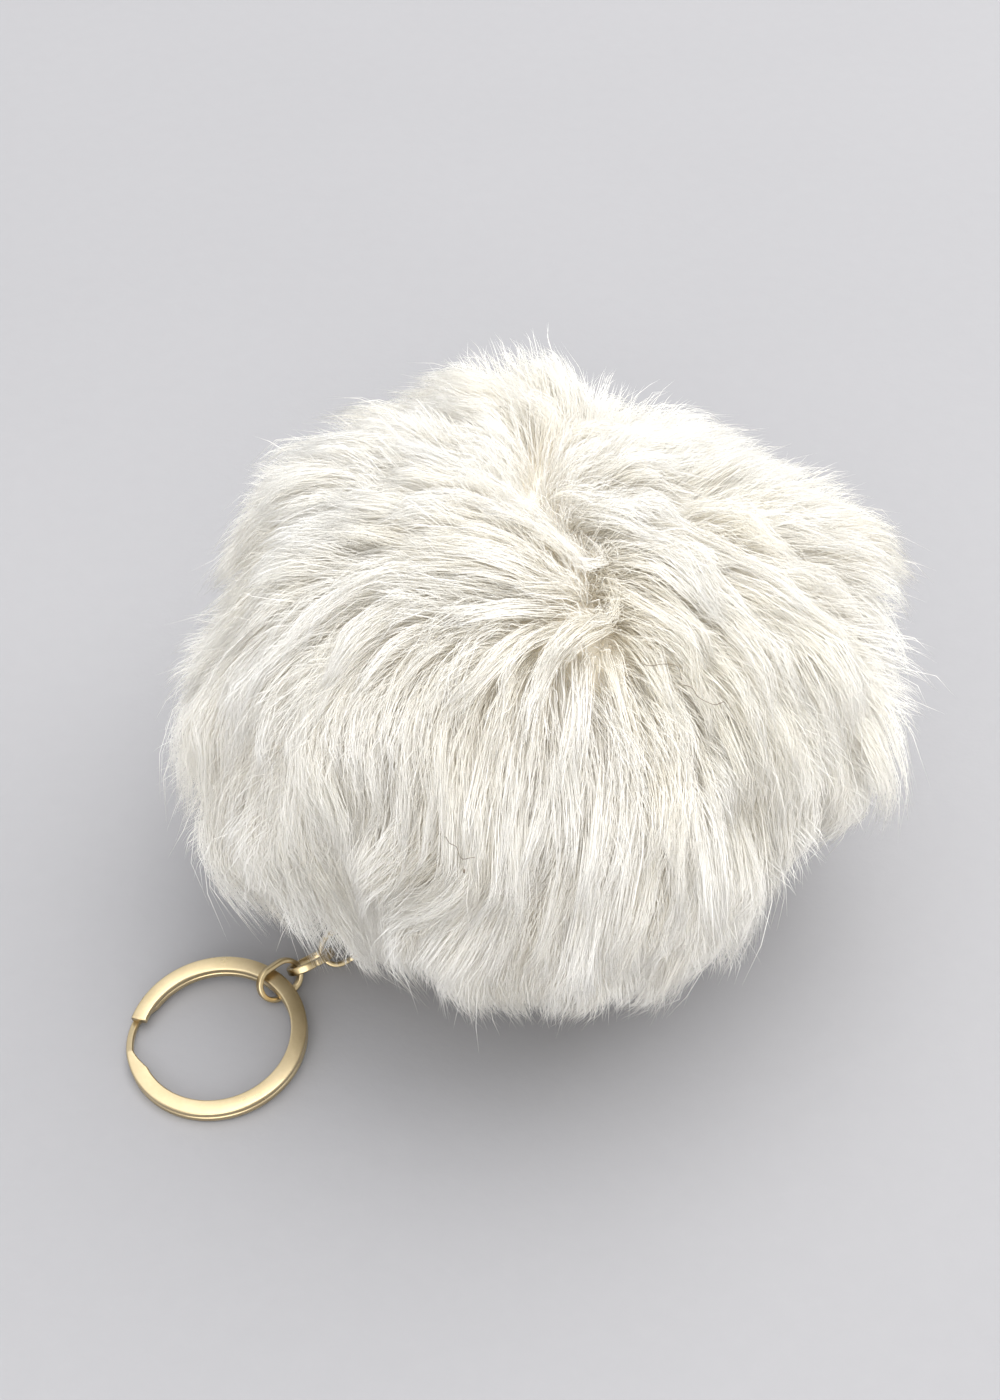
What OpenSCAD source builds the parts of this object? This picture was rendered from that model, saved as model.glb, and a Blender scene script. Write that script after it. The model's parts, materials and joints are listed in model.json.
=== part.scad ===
// Long-pile pom-pom keychain: a stuffed faux-fur ball, a short link chain and a split ring.
// It lies on a table with the chain laid out to its front left.
// The origin is the middle of the flat foot the ball rests on, +Z is up, sizes in millimetres.

/* [Pom-pom] */
// Widest diameter of the dense pile
pile_w = 102; // [98:1:106]
// Height of the ball of pile before its foot flattens
pile_h = 86; // [84:1:90]
// How far the foot is flattened by the weight
foot_sink = 2; // [1.5:0.5:2.5]
// Radius that rounds the side of the pile
side_r = 34; // [32:1:36]
// Diameter over the knitted backing cloth
core_d = 62; // [58:1:64]
// Thickness of the backing cloth
cloth_t = 1; // [0.8:0.1:1.2]

/* [Neck and loop] */
// Length of the gathered neck
neck_len = 5; // [4.5:0.5:6]
// Outer diameter of the gathered neck
neck_d = 9; // [8.6:0.2:9.6]
// Diameter of the gathering thread
thread_d = 0.8; // [0.6:0.1:0.9]
// Turns of the gathering thread
thread_turns = 3; // [2:1:4]
// Diameter of the hanging loop's cord
cord_d = 1.4; // [1.2:0.1:1.5]
// Radius of the loop's round end, on the cord's centre line
loop_r = 2.2; // [2.1:0.1:2.4]
// Diameter of the knot inside the ball
knot_d = 6.6; // [6.2:0.2:7]

/* [Chain] */
// Outer length of a link
link_l = 8.1; // [8:0.05:8.2]
// Outer width of a link
link_w = 6; // [5.9:0.1:6.2]
// Thickness of the link's wire, in the plane of the link
wire_t = 0.85; // [0.75:0.05:0.9]
// Width of the link's wire, across the plane of the link
wire_w = 1.3; // [1.1:0.1:1.4]
// Distance between one contact of the chain and the next
link_pitch = 5.8; // [5.75:0.05:5.85]

/* [Split ring] */
// Outer diameter of the ring
ring_d = 28; // [26:1:30]
// Width of the flat wire
band_w = 2.5; // [2.3:0.1:2.6]
// Thickness of the flat wire
strip_t = 1.05; // [0.95:0.05:1.1]
// Gap between the two turns
turn_gap = 0.1; // [0.06:0.02:0.12]
// Width of the neck where the wire changes layer
step_w = 1.1; // [1:0.1:1.3]

/* [Hidden] */
$fn = 72;

fur_colour = [0.95, 0.93, 0.88];
cloth_colour = [0.90, 0.87, 0.80];
fibre_colour = [0.97, 0.97, 0.96];
cord_colour = [0.93, 0.91, 0.85];
gold_colour = [0.84, 0.71, 0.44];

eps = 0.05;  // clearance between faces that only touch

// The pile's side view is an oval of four arcs: two side arcs and two caps.
half_w = pile_w / 2;
half_h = pile_h / 2;
side_x = half_w - side_r;
cap_r = (side_x * side_x + half_h * half_h - side_r * side_r) / (2 * (half_h - side_r));
cap_drop = cap_r - half_h;
join_x = side_x * cap_r / (cap_r - side_r);
ball_z = half_h - foot_sink;
core_r = core_d / 2;

// Where the chain leaves the ball, and how each link lies on its way to the ring.
chain_z = 2.85;
first_contact_r = 30.6;
neck_heading = 218;
headings = [208, 210, 213, 221];
droops = [26, 6, 0, 0];
tilts = [45, -45, 45, -55];
ring_heading = 228;

function aim(heading, droop) =
  [cos(droop) * cos(heading), cos(droop) * sin(heading), -sin(droop)];
function contact(i) =
  i == 0 ? first_contact : contact(i - 1) + link_pitch * aim(headings[i - 1], droops[i - 1]);
function link_centre(i) = contact(i) + link_pitch / 2 * aim(headings[i], droops[i]);

first_contact_z = chain_z + link_pitch * (sin(droops[0]) + sin(droops[1]));
first_contact = [
  first_contact_r * cos(neck_heading), first_contact_r * sin(neck_heading), first_contact_z,
];
neck_droop = atan2(ball_z - first_contact_z, first_contact_r);
contact_dist = norm(first_contact - [0, 0, ball_z]);

// Links: the wire's centre line is a straight between two half circles.
link_inner = link_l - 2 * wire_t;
contact_gap = link_inner - link_pitch;
link_end_r = (link_w - wire_t) / 2;
link_straight = link_l - link_w;
wire_round = 0.25;

// Loop: its tip sits just past the first contact.
tip_dist = contact_dist + contact_gap / 2 + cord_d / 2;
loop_end_dist = tip_dist - loop_r;
knot_dist = 24;
loop_roll = -42;
mouth_d = 2 * loop_r + cord_d + 0.4;
channel_d = 12.4;

// Split ring: tilted, because the last link props up the side it holds.
ring_r = ring_d / 2;
ring_mid_r = ring_r - band_w / 2;
ring_h = 2 * strip_t + turn_gap;
ring_reach = 0.7;  // how far the band's middle is from the last link's middle
ring_tilt = asin((chain_z - ring_h / 2) / (ring_r + ring_mid_r));
ring_centre = link_centre(3) + ring_reach * aim(ring_heading, 0)
  + ring_mid_r * cos(ring_tilt) * aim(ring_heading, 0) - [0, 0, ring_mid_r * sin(ring_tilt)];
step_from = 167;
step_to = 192;
flare = 17;  // degrees over which the neck widens to the whole wire
inset = 0.03;

// Moves its children's +X axis onto the line from the ball's middle to the loop.
module along_neck() {
  translate([0, 0, ball_z]) rotate([0, neck_droop, neck_heading]) children();
}

// A round bar along +X from x0 to x1.
module bar_x(x0, x1, d) {
  translate([x0, 0, 0]) rotate([0, 90, 0]) cylinder(h = x1 - x0, d = d);
}

module oval_profile() {
  intersection() {
    union() {
      translate([side_x, 0]) circle(side_r);
      intersection() {
        translate([0, -cap_drop]) circle(cap_r);
        translate([0, cap_drop]) circle(cap_r);
        translate([-join_x, -half_h]) square([2 * join_x, pile_h]);
      }
    }
    translate([0, -half_h + foot_sink]) square([half_w + 1, pile_h]);
  }
}

// The combed pile as one dense solid, hollow for the stuffed ball, with the parting
// that the loop comes out of.
module fur_pile() {
  color(fur_colour) difference() {
    translate([0, 0, ball_z]) rotate_extrude() oval_profile();
    translate([0, 0, ball_z]) sphere(core_r + eps);
    along_neck() bar_x(core_r - cloth_t - 2, half_w + 8, channel_d);
  }
}

// Knitted backing, closed round the stuffing and drawn into a short neck.
module backing_cloth() {
  color(cloth_colour) difference() {
    union() {
      translate([0, 0, ball_z]) sphere(core_r);
      along_neck() bar_x(core_r - cloth_t, core_r + neck_len, neck_d);
    }
    translate([0, 0, ball_z]) sphere(core_r - cloth_t);
    along_neck() bar_x(core_r - 3 * cloth_t, core_r + neck_len + 1, mouth_d);
  }
}

// Fibre filling, with room for the cord and its knot turned out of it in one go.
module stuffing() {
  color(fibre_colour) difference() {
    translate([0, 0, ball_z]) sphere(core_r - cloth_t - eps);
    along_neck() rotate([0, 90, 0]) rotate_extrude() {
      translate([0, knot_dist]) intersection() {
        circle(d = knot_d + 0.4);
        translate([0, -knot_d]) square([knot_d, 2 * knot_d]);
      }
      translate([0, knot_dist]) square([mouth_d / 2, core_r + 1 - knot_dist]);
    }
  }
}

// Thread wound round the neck, each turn a ring, with its knot on the side.
module gather_thread() {
  wound_r = (neck_d + thread_d) / 2 + eps;
  color(cord_colour) along_neck() {
    for (turn = [0 : thread_turns - 1])
      translate([core_r + 1.6 + turn * 0.9 * thread_d, 0, 0]) rotate([0, 90, 0])
        rotate_extrude() translate([wound_r, 0]) circle(d = thread_d);
    translate([core_r + 1.6 + thread_d / 2, 0, wound_r + 0.4 * thread_d]) sphere(d = 1.6 * thread_d);
  }
}

// One cord: a knot inside the ball, two legs through the neck and a round end outside.
module hanging_loop() {
  color(cord_colour) along_neck() rotate([loop_roll, 0, 0]) {
    translate([knot_dist, 0, 0]) sphere(d = knot_d);
    for (side = [-1, 1])
      translate([0, side * loop_r, 0]) bar_x(knot_dist, loop_end_dist, cord_d);
    translate([loop_end_dist, 0, 0]) rotate([0, 0, -90])
      rotate_extrude(angle = 180) translate([loop_r, 0]) circle(d = cord_d);
  }
}

// The flat wire's section with rounded corners: x in the plane of the link, y across it.
module wire_section() {
  square([wire_t - 2 * wire_round, wire_w], center = true);
  square([wire_t, wire_w - 2 * wire_round], center = true);
  for (x = [-1, 1], y = [-1, 1])
    translate([x * (wire_t / 2 - wire_round), y * (wire_w / 2 - wire_round)])
      circle(wire_round);
}

// An oval link, lengthwise along X.
module oval_link() {
  color(gold_colour) for (side = [0, 180]) rotate([0, 0, side]) {
    translate([link_straight / 2, 0, 0]) rotate([0, 0, -90])
      rotate_extrude(angle = 180) translate([link_end_r, 0]) wire_section();
    translate([-link_straight / 2, link_end_r, 0]) rotate([90, 0, 90])
      linear_extrude(link_straight) wire_section();
  }
}

// Link number i of the chain where it lies, counted from the ball.
module laid_link(i) {
  translate(link_centre(i)) rotate([0, droops[i], headings[i]]) rotate([tilts[i], 0, 0])
    oval_link();
}

module chain_link_1() { laid_link(0); }
module chain_link_2() { laid_link(1); }
module chain_link_3() { laid_link(2); }
module chain_link_4() { laid_link(3); }

// One turn of the flat wire with its bottom at height z, from angle a round to the step.
module flat_turn(z, a) {
  translate([0, 0, z]) rotate([0, 0, a])
    rotate_extrude(angle = 360 - (a - step_from))
      translate([ring_r - band_w, 0]) square([band_w, strip_t]);
}

// Cuts the inner corner of a turn's end at angle a; toward is 1 or -1 along the turn.
module flare_cut(a, toward) {
  inner = ring_r - band_w;
  linear_extrude(2 * ring_h, center = true) polygon([
    (ring_r - step_w) * [cos(a), sin(a)],
    (inner - 0.1) * [cos(a + toward * flare), sin(a + toward * flare)],
    (inner - 1) * [cos(a + toward * flare / 2), sin(a + toward * flare / 2)],
    (inner - 1) * [cos(a - toward * flare / 2), sin(a - toward * flare / 2)],
    (ring_r - step_w) * [cos(a - toward * 4), sin(a - toward * 4)],
  ]);
}

// The narrow neck that climbs from the end of the lower turn to the start of the upper one.
// Its faces lie just inside the turns' faces, so it enters each turn through that turn's end.
module step_neck() {
  step_mid = (step_from + step_to) / 2;
  half = ring_r * sin((step_to - step_from) / 2);
  low = -ring_h / 2 + inset;
  high = turn_gap / 2 + inset;
  thick = strip_t - 2 * inset;
  lap = 0.6;
  intersection() {
    rotate([0, 0, step_mid]) translate([ring_mid_r - band_w, 0, 0]) rotate([90, 0, 90])
      linear_extrude(3 * band_w) polygon([
        [-half - lap, low], [-half, low], [half, high], [half + lap, high],
        [half + lap, high + thick], [half, high + thick],
        [-half, low + thick], [-half - lap, low + thick],
      ]);
    difference() {
      cylinder(h = 2 * ring_h, r = ring_r - inset, center = true);
      cylinder(h = 3 * ring_h, r = ring_r - step_w + inset, center = true);
    }
  }
}

// Two flat turns of one wire. The upper turn's end is square, over the neck's foot, and the
// lower turn's is hidden where the upper one has its whole width.
module split_ring() {
  color(gold_colour) translate(ring_centre)
    rotate([0, 0, ring_heading]) rotate([0, ring_tilt, 0]) rotate([0, 0, -ring_heading]) {
      difference() {
        flat_turn(-ring_h / 2, step_to + flare);
        flare_cut(step_from, -1);
      }
      difference() {
        flat_turn(turn_gap / 2, step_to);
        flare_cut(step_to, 1);
      }
      step_neck();
    }
}

fur_pile();
backing_cloth();
stuffing();
gather_thread();
hanging_loop();
chain_link_1();
chain_link_2();
chain_link_3();
chain_link_4();
split_ring();
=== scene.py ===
import json
import math

import bpy
import numpy as np
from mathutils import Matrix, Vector


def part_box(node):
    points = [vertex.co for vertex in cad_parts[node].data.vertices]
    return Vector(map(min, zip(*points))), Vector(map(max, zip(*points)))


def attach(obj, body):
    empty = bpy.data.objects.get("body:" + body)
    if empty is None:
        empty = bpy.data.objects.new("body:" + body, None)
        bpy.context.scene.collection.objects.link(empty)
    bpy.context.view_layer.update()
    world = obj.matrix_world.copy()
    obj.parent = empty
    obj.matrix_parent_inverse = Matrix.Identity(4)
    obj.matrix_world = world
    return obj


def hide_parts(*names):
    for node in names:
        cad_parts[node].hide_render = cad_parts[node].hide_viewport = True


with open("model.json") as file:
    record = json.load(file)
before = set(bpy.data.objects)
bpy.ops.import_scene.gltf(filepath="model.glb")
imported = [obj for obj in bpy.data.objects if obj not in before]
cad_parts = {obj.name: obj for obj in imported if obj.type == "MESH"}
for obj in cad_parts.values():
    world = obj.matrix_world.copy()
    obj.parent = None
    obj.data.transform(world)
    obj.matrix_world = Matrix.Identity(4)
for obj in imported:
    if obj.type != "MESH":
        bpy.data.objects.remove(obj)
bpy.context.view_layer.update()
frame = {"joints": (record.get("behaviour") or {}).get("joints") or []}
jointAt = {joint["name"]: joint for joint in frame["joints"]}
print("frame loaded")

mm = 0.001


# Shader maths: Python's operators on a socket add the nodes.
class Sock:
    def __init__(self, tree, out=None):
        self.tree = tree
        self.out = out

    def node(self, kind, settings=None, sockets=None, give=0):
        made = self.tree.nodes.new(kind)
        for name, value in (settings or {}).items():
            if name == "stops":
                ramp = made.color_ramp.elements
                while len(ramp) < len(value):
                    ramp.new(0.5)
                for stop, (place, colour) in zip(ramp, value):
                    stop.position = place
                    stop.color = (*colour, 1)
            else:
                setattr(made, name, value)
        for name, value in (sockets or {}).items():
            if isinstance(value, Sock):
                self.tree.links.new(value.out, made.inputs[name])
            else:
                made.inputs[name].default_value = value
        return Sock(self.tree, made.outputs[give] if made.outputs else None)

    def pick(self, name):
        return Sock(self.tree, self.out.node.outputs[name])

    def maths(self, operation, *values):
        # colours and vectors need the vector node
        vectors = any(isinstance(v, Sock) and v.out.type != "VALUE" for v in values)
        kind = "ShaderNodeVectorMath" if vectors else "ShaderNodeMath"
        return self.node(kind, {"operation": operation}, dict(enumerate(values)))

    def mix(self, other, factor, blend="MIX"):  # self where factor is 0, other where it is 1
        settings = {"data_type": "RGBA", "blend_type": blend}
        return self.node("ShaderNodeMix", settings, {0: factor, 6: self, 7: other}, give=2)

    def __add__(self, other):
        return self.maths("ADD", self, other)

    def __radd__(self, other):
        return self.maths("ADD", other, self)

    def __sub__(self, other):
        return self.maths("SUBTRACT", self, other)

    def __mul__(self, other):
        return self.maths("MULTIPLY", self, other)

    def __rmul__(self, other):
        return self.maths("MULTIPLY", other, self)


def newMaterial(name):
    material = bpy.data.materials.new(name)
    material.use_nodes = True
    material.node_tree.nodes.clear()
    return material, Sock(material.node_tree)


def setSurface(start, surface):
    start.node("ShaderNodeOutputMaterial", {}, {"Surface": surface})


def noiseAt(start, place, scale, detail=2.0, roughness=0.5):
    sockets = {"Vector": place, "Scale": scale, "Detail": detail, "Roughness": roughness}
    return start.node("ShaderNodeTexNoise", {}, sockets)


def objectPlace(start):
    return start.node("ShaderNodeTexCoord").pick("Object")


def rampOf(start, stops, factor):
    return start.node("ShaderNodeValToRGB", {"stops": stops}, {"Fac": factor})


def bumpFrom(start, height, strength, distance):
    sockets = {"Height": height, "Strength": strength, "Distance": distance}
    return start.node("ShaderNodeBump", {}, sockets)


def principled(start, sockets):
    return start.node("ShaderNodeBsdfPrincipled", {}, sockets)


# Mesh building
def meshFromArrays(name, points, loopVerts, loopStarts):
    mesh = bpy.data.meshes.new(name)
    mesh.vertices.add(len(points))
    mesh.vertices.foreach_set("co", np.ascontiguousarray(points, dtype=np.float32).ravel())
    mesh.loops.add(len(loopVerts))
    mesh.loops.foreach_set("vertex_index", np.ascontiguousarray(loopVerts, dtype=np.int32))
    mesh.polygons.add(len(loopStarts))
    mesh.polygons.foreach_set("loop_start", np.ascontiguousarray(loopStarts, dtype=np.int32))
    mesh.update(calc_edges=True)
    mesh.polygons.foreach_set("use_smooth", np.full(len(loopStarts), True))
    mesh.update()
    return mesh


def addPiece(name, mesh, body, material, stands=()):
    piece = bpy.data.objects.new(name, mesh)
    bpy.context.scene.collection.objects.link(piece)
    mesh.materials.clear()
    mesh.materials.append(material)
    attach(piece, body)
    if stands:
        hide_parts(*stands)
    return piece


def gridMesh(name, rows, closedAlong, caps=False):
    # rows is (n, m, 3): n sections of m points, each section a closed loop
    n, m = rows.shape[:2]
    spans = n if closedAlong else n - 1
    i, j = np.meshgrid(np.arange(spans), np.arange(m), indexing="ij")
    nextI, nextJ = (i + 1) % n, (j + 1) % m
    quads = np.stack([i * m + j, i * m + nextJ, nextI * m + nextJ, nextI * m + j], axis=-1)
    loopVerts = quads.reshape(-1)
    loopStarts = np.arange(spans * m) * 4
    if caps:
        first = np.arange(m)[::-1]
        last = (n - 1) * m + np.arange(m)
        loopStarts = np.concatenate([loopStarts, [len(loopVerts), len(loopVerts) + m]])
        loopVerts = np.concatenate([loopVerts, first, last])
    mesh = meshFromArrays(name, rows.reshape(-1, 3), loopVerts, loopStarts)
    points = rows.reshape(-1, 3) - rows.reshape(-1, 3).mean(axis=0)
    a, b, c, d = (points[quads[..., k].ravel()] for k in range(4))
    if (a * (np.cross(b, c) + np.cross(c, d))).sum() < 0:
        mesh.flip_normals()  # every face looks outwards
    return mesh


def unit(v):
    return v / np.maximum(np.linalg.norm(v, axis=-1, keepdims=True), 1e-12)


anyWay = np.array([0.31, 0.52, 0.79])  # along nothing else in the object


def circleOf(angles, sideA, sideB):
    return np.cos(angles)[:, None] * sideA + np.sin(angles)[:, None] * sideB


def roundedSection(width, height, corner, perCorner=4):
    # a closed loop of points round a flat wire's section, across and up
    points = []
    for quarter, (sx, sy) in enumerate([(1, 1), (-1, 1), (-1, -1), (1, -1)]):
        for k in range(perCorner + 1):
            a = math.radians(90 * quarter + 90 * k / perCorner)
            x = sx * (width / 2 - corner) + corner * math.cos(a)
            y = sy * (height / 2 - corner) + corner * math.sin(a)
            points.append((x, y))
    return np.array(points)


def tubeMesh(name, path, radius, sides=8, closed=False):
    # a round tube along a path; radius is one number or one for each point
    path = np.asarray(path, dtype=float)
    if closed:
        ways = unit(np.roll(path, -1, axis=0) - np.roll(path, 1, axis=0))
    else:
        ways = unit(np.gradient(path, axis=0))
    side = unit(np.cross(ways[0], anyWay))
    radius = np.broadcast_to(radius, len(path))
    angles = 2 * math.pi * np.arange(sides) / sides
    rows = []
    for point, way, thick in zip(path, ways, radius):
        side = unit(side - way * (side @ way))
        rows.append(point + thick * circleOf(angles, side, np.cross(way, side)))
    return gridMesh(name, np.array(rows), closed, caps=not closed)


# The pile. Places on the ball are an azimuth, 0 at the front and growing to the right,
# and an elevation. A comb direction is 0 down the front, 90 to the right, 180 up and back.
pile = dict(
    seed=7,
    locks=3300,  # pointed locks over the whole ball
    bigLocks=520,  # wide locks that gather the small ones
    strandsPerLock=44,
    points=6,  # points along each strand
    strandWidth=0.118 * mm,
    lockRadius=2.4 * mm,
    reach=23 * mm,  # how far a strand runs along the ball
    ease=1.2,  # how slowly it sets out along its lock
    guidePoints=13,
    guideShare=0.92,  # of the tip radius, where the reach is measured
    rootStray=0.018,
    tipRadius=53 * mm,  # from the middle of the ball to the tips, sideways
    tipHeight=43.3 * mm,  # and upwards
    rootShare=0.72,  # where strands start, as a share of the tip radius
    underShare=0.77,  # the dense undercoat
    dentDepth=5 * mm, dentSpread=9.0,  # where the chain goes in, spread in degrees
    gather=0.62,  # how strongly a wide lock gathers
    closing=0.62,  # how far a lock's strands close on its tip
    closingStray=(-0.2, 0.15),
    closingLimits=(0.1, 0.92),
    bulge=(1.2, 2.0),  # how fast strands rise from the backing
    wideLift=0.033, lockLift=0.014, strandLift=0.008,  # unevenness, as shares of the radius
    swirl=9,  # degrees by which single locks stray from the comb
    curl=22,  # degrees by which a lock turns along its length
    frizz=0.28 * mm,
    flyaway=0.022,  # share of strands that stand clear
    fuzz=0.27,  # share of short strands that stand up from the backing
    lowest=-68,  # no roots below this elevation
    bands=24,  # the strands are kept in this many meshes
)

# azimuth, elevation, comb direction, reach as a share, spread in degrees
combStrokes = [
    # over the top and to the left
    (180, 50, -110, 0.8, 16), (-150, 45, -100, 0.8, 16), (-125, 35, -75, 0.9, 16),
    (-110, 25, -50, 0.9, 16), (-115, 70, -100, 0.9, 14), (-95, 57, -92, 1, 14),
    (-45, 74, -98, 1, 12), (5, 72, -95, 1, 10), (-45, 60, -88, 1, 12), (0, 62, -84, 0.9, 8),
    (-75, 45, -66, 1, 14), (-85, 30, -42, 1.1, 14),
    # the long locks that hang down the left and the front
    (-80, 12, -14, 1.3, 16), (-62, 30, -16, 1.3, 12), (-48, 38, -10, 1.4, 10),
    (-38, 27, 8, 1.45, 12), (-55, 8, -4, 1.2, 16), (-36, 48, -34, 1.3, 9),
    (-26, 34, 4, 1.45, 10), (-20, 45, -30, 1.3, 8), (-9, 38, -10, 1.35, 9),
    (-12, 24, -6, 1.3, 12),
    # left of the parting, turning down, and the tuft that falls from it
    (10, 75, -92, 1, 7), (12, 67, -80, 1, 7), (16, 59, -66, 1, 6), (-10, 58, -66, 1, 7),
    (12, 52, -38, 1, 6), (-4, 52, -40, 1.2, 7), (2, 45, -8, 1.3, 8), (8, 36, 2, 1.3, 9),
    (16, 44, -6, 1, 7), (22, 36, 4, 1, 8), (27, 28, 4, 1, 9),
    # the lower front, in a fan
    (14, 21, -16, 1, 12), (24, 14, -20, 1, 12), (6, 15, -14, 0.9, 12), (-18, 8, -60, 0.7, 9),
    (-12, 4, -42, 0.8, 9), (-3, 1, -14, 0.8, 10), (8, 0, -8, 0.8, 10), (20, 4, -2, 0.9, 12),
    # right of the parting, down to the right in long waves
    (82, 78, 42, 1, 12), (50, 70, 40, 1.1, 7), (40, 62, 36, 1.1, 7), (75, 62, 30, 1.1, 12),
    (73, 50, 26, 1.1, 12), (57, 41, 30, 1.1, 11), (76, 36, 32, 1.1, 14), (84, 26, 42, 1, 14),
    (61, 27, 20, 1, 13), (46, 24, 14, 1, 11), (38, 50, 32, 1, 7), (36, 40, 26, 1, 8),
    # the right shoulder, brushed up and back
    (143, 68, 100, 0.7, 14), (134, 53, 130, 0.6, 16), (117, 43, 118, 0.7, 16),
    (110, 25, 92, 0.8, 18), (97, 14, 60, 0.9, 18), (44, 12, 2, 1, 14), (70, 5, 10, 1, 18),
    # round the back and underneath
    (180, 15, 0, 1, 30), (-140, 10, 0, 1, 28), (140, 5, 0, 1, 28), (180, -25, 0, 1, 30),
    (-110, -15, 0, 1, 28), (110, -20, 0, 1, 28), (-60, -25, -10, 0.8, 20),
    (0, -25, 0, 0.8, 22), (60, -25, 10, 0.9, 24),
]

# Swellings and hollows of the combed surface: azimuth, elevation, spread, height
swells = [
    (175, 45, 9, 2.4), (-172, 40, 12, 2.0), (150, 42, 13, -6.0), (128, 36, 12, -3.2),
    (102, 20, 16, 2.6), (-117, 24, 12, 0.5), (-92, 20, 12, -2.4), (-78, 0, 14, 1.5),
    (-62, -8, 13, 3.8), (-38, -8, 9, -2.5), (5, -6, 16, 0.8),
    # the long locks stand over the fringe below them
    (-62, 24, 7, 1.8), (-45, 28, 8, 2.0), (-28, 30, 7, 2.0), (-14, 22, 7, 2.4),
    (-52, 10, 6, -2.6), (-36, 14, 6, -3.0), (-22, 10, 6, -3.4), (-30, 20, 3, -1.8),
    (-45, 19, 3, -1.6), (-33, -1, 8, -5.0), (-31, -14, 8, -4.0), (-8, 8, 5, -2.4),
    (4, 14, 5, -1.4), (68, 15, 12, 2.4), (61, -24, 12, -9.0), (52, -6, 8, -3.0),
    # the parting and the whorl
    (163, 78, 6, -1.8), (33, 78, 5, -2.2), (33, 70, 5, -2.4), (31, 60, 5, -1.8), (28, 52, 5, -1.2),
    (32, 40, 6, -2.0), (38, 28, 6, -2.6), (37, 12, 8, -4.5), (42, -8, 10, -6.5),
    (52, 72, 5, 1.6), (45, 61, 5, 2.0), (40, 50, 5, 1.6), (39, 40, 5, 1.4),
    # long waves down the right side
    (94, 75, 4, -2.0), (59, 66, 4, -2.6), (53, 59, 4, -2.4), (49, 51, 4, -2.6), (48, 42, 4, -2.2),
    (78, 66, 5, 2.0), (65, 57, 5, 2.4), (57, 48, 5, 2.2), (55, 38, 5, 1.8),
    (90, 64, 4, -2.2), (74, 57, 4, -2.8), (65, 49, 4, -2.6), (59, 42, 4, -2.4), (55, 32, 5, -1.6),
    (86, 52, 5, 2.2), (74, 42, 5, 2.2), (66, 32, 6, 2.0), (85, 40, 5, -2.2), (73, 31, 5, -2.2),
    (4, 42, 7, 1.8), (14, 8, 14, 1.8), (-14, 32, 5, -1.4), (-36, 34, 8, 1.4),
]

# Where the pile is creamier and a little darker, partly its own tone and partly painted shade in
# the hollows and the parting: azimuth, elevation, spread, amount
creamAndShadePatches = [
    (60, 56, 20, 0.35), (30, 72, 10, 0.4), (-100, 32, 14, 0.25), (29, 52, 8, 0.4),
    (-40, 56, 14, 0.15), (40, 15, 14, 0.15), (-42, 12, 10, 0.25), (-16, 30, 9, 0.15),
]


def ballDirection(azimuth, elevation):
    a, e = np.radians(azimuth), np.radians(elevation)
    return np.stack([np.sin(a) * np.cos(e), -np.cos(a) * np.cos(e), np.sin(e)], axis=-1)


pileLow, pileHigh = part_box("fur_pile")
footSink = 2 * mm
ballCentre = np.array([0, 0, (pileHigh.z + pileLow.z - footSink) / 2])
tilt = math.radians(46)
downFront = np.array([0, -math.sin(tilt), -math.cos(tilt)])
toRight = np.array([1.0, 0, 0])
strokes = np.array(combStrokes, dtype=float)
strokePlace = ballDirection(strokes[:, 0], strokes[:, 1])
strokeTurn = np.radians(strokes[:, 2])
strokeWay = circleOf(strokeTurn, downFront, toRight)
swellRows = np.array(swells, dtype=float)
swellPlace = ballDirection(swellRows[:, 0], swellRows[:, 1])


def nearness(directions, places, spread):
    # 1 at a place on the ball, falling off over its spread in degrees
    cosine = np.clip(directions @ places.T, -1, 1)
    return np.exp(-((np.degrees(np.arccos(cosine)) / spread) ** 2))


def combAt(directions):
    weight = nearness(directions, strokePlace, strokes[:, 4]) ** 1.5 + 1e-9
    weight = weight / weight.sum(axis=1, keepdims=True)
    way = weight @ strokeWay
    way = way - (way * directions).sum(axis=1, keepdims=True) * directions
    # where neighbouring strokes disagree, as along the parting, the pile stays short
    agree = np.clip(np.linalg.norm(way, axis=1) / 0.7, 0.65, 1)
    return unit(way), weight @ strokes[:, 3] * agree


# Gentle unevenness all over, as a sum of waves in random directions
waves = dict(seed=3, each=12, rates=[7, 14], heights=[0.55, 0.35])
waveCount = waves["each"] * len(waves["rates"])
waveRandom = np.random.default_rng(waves["seed"])
waveRate = np.repeat(waves["rates"], waves["each"])[:, None]
waveWay = waveRandom.normal(0, 1, (waveCount, 3)) * waveRate
wavePhase = waveRandom.uniform(0, 2 * math.pi, waveCount)
waveHeight = np.repeat(waves["heights"], waves["each"]) * mm


def surfaceRadius(directions):
    across = np.hypot(directions[..., 0], directions[..., 1]) / pile["tipRadius"]
    radius = 1 / np.sqrt(across**2 + (directions[..., 2] / pile["tipHeight"]) ** 2)
    flat = directions.reshape(-1, 3)
    lift = nearness(flat, swellPlace, swellRows[:, 2]) @ (swellRows[:, 3] * mm)
    lift += np.sin(flat @ waveWay.T + wavePhase) @ waveHeight / 2
    return radius + lift.reshape(radius.shape)


def turnAbout(axis, vectors, angle):
    c, s = np.cos(angle)[..., None], np.sin(angle)[..., None]
    shared = axis * (axis * vectors).sum(-1, keepdims=True)
    return vectors * c + np.cross(axis, vectors) * s + shared * (1 - c)


def aboveTable(points, softness=1.5 * mm):
    # lets the pile settle on the table without going through it
    z = points[..., 2]
    low = z < softness
    points[..., 2] = np.where(low, softness * np.exp(np.minimum(z / softness - 1, 0)), z)
    return points


chainStart = [np.array(jointAt[name]["pos_m"]) for name in
              ("link_1_swing", "link_2_lift", "link_3_swing", "link_4_lift")]


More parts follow.
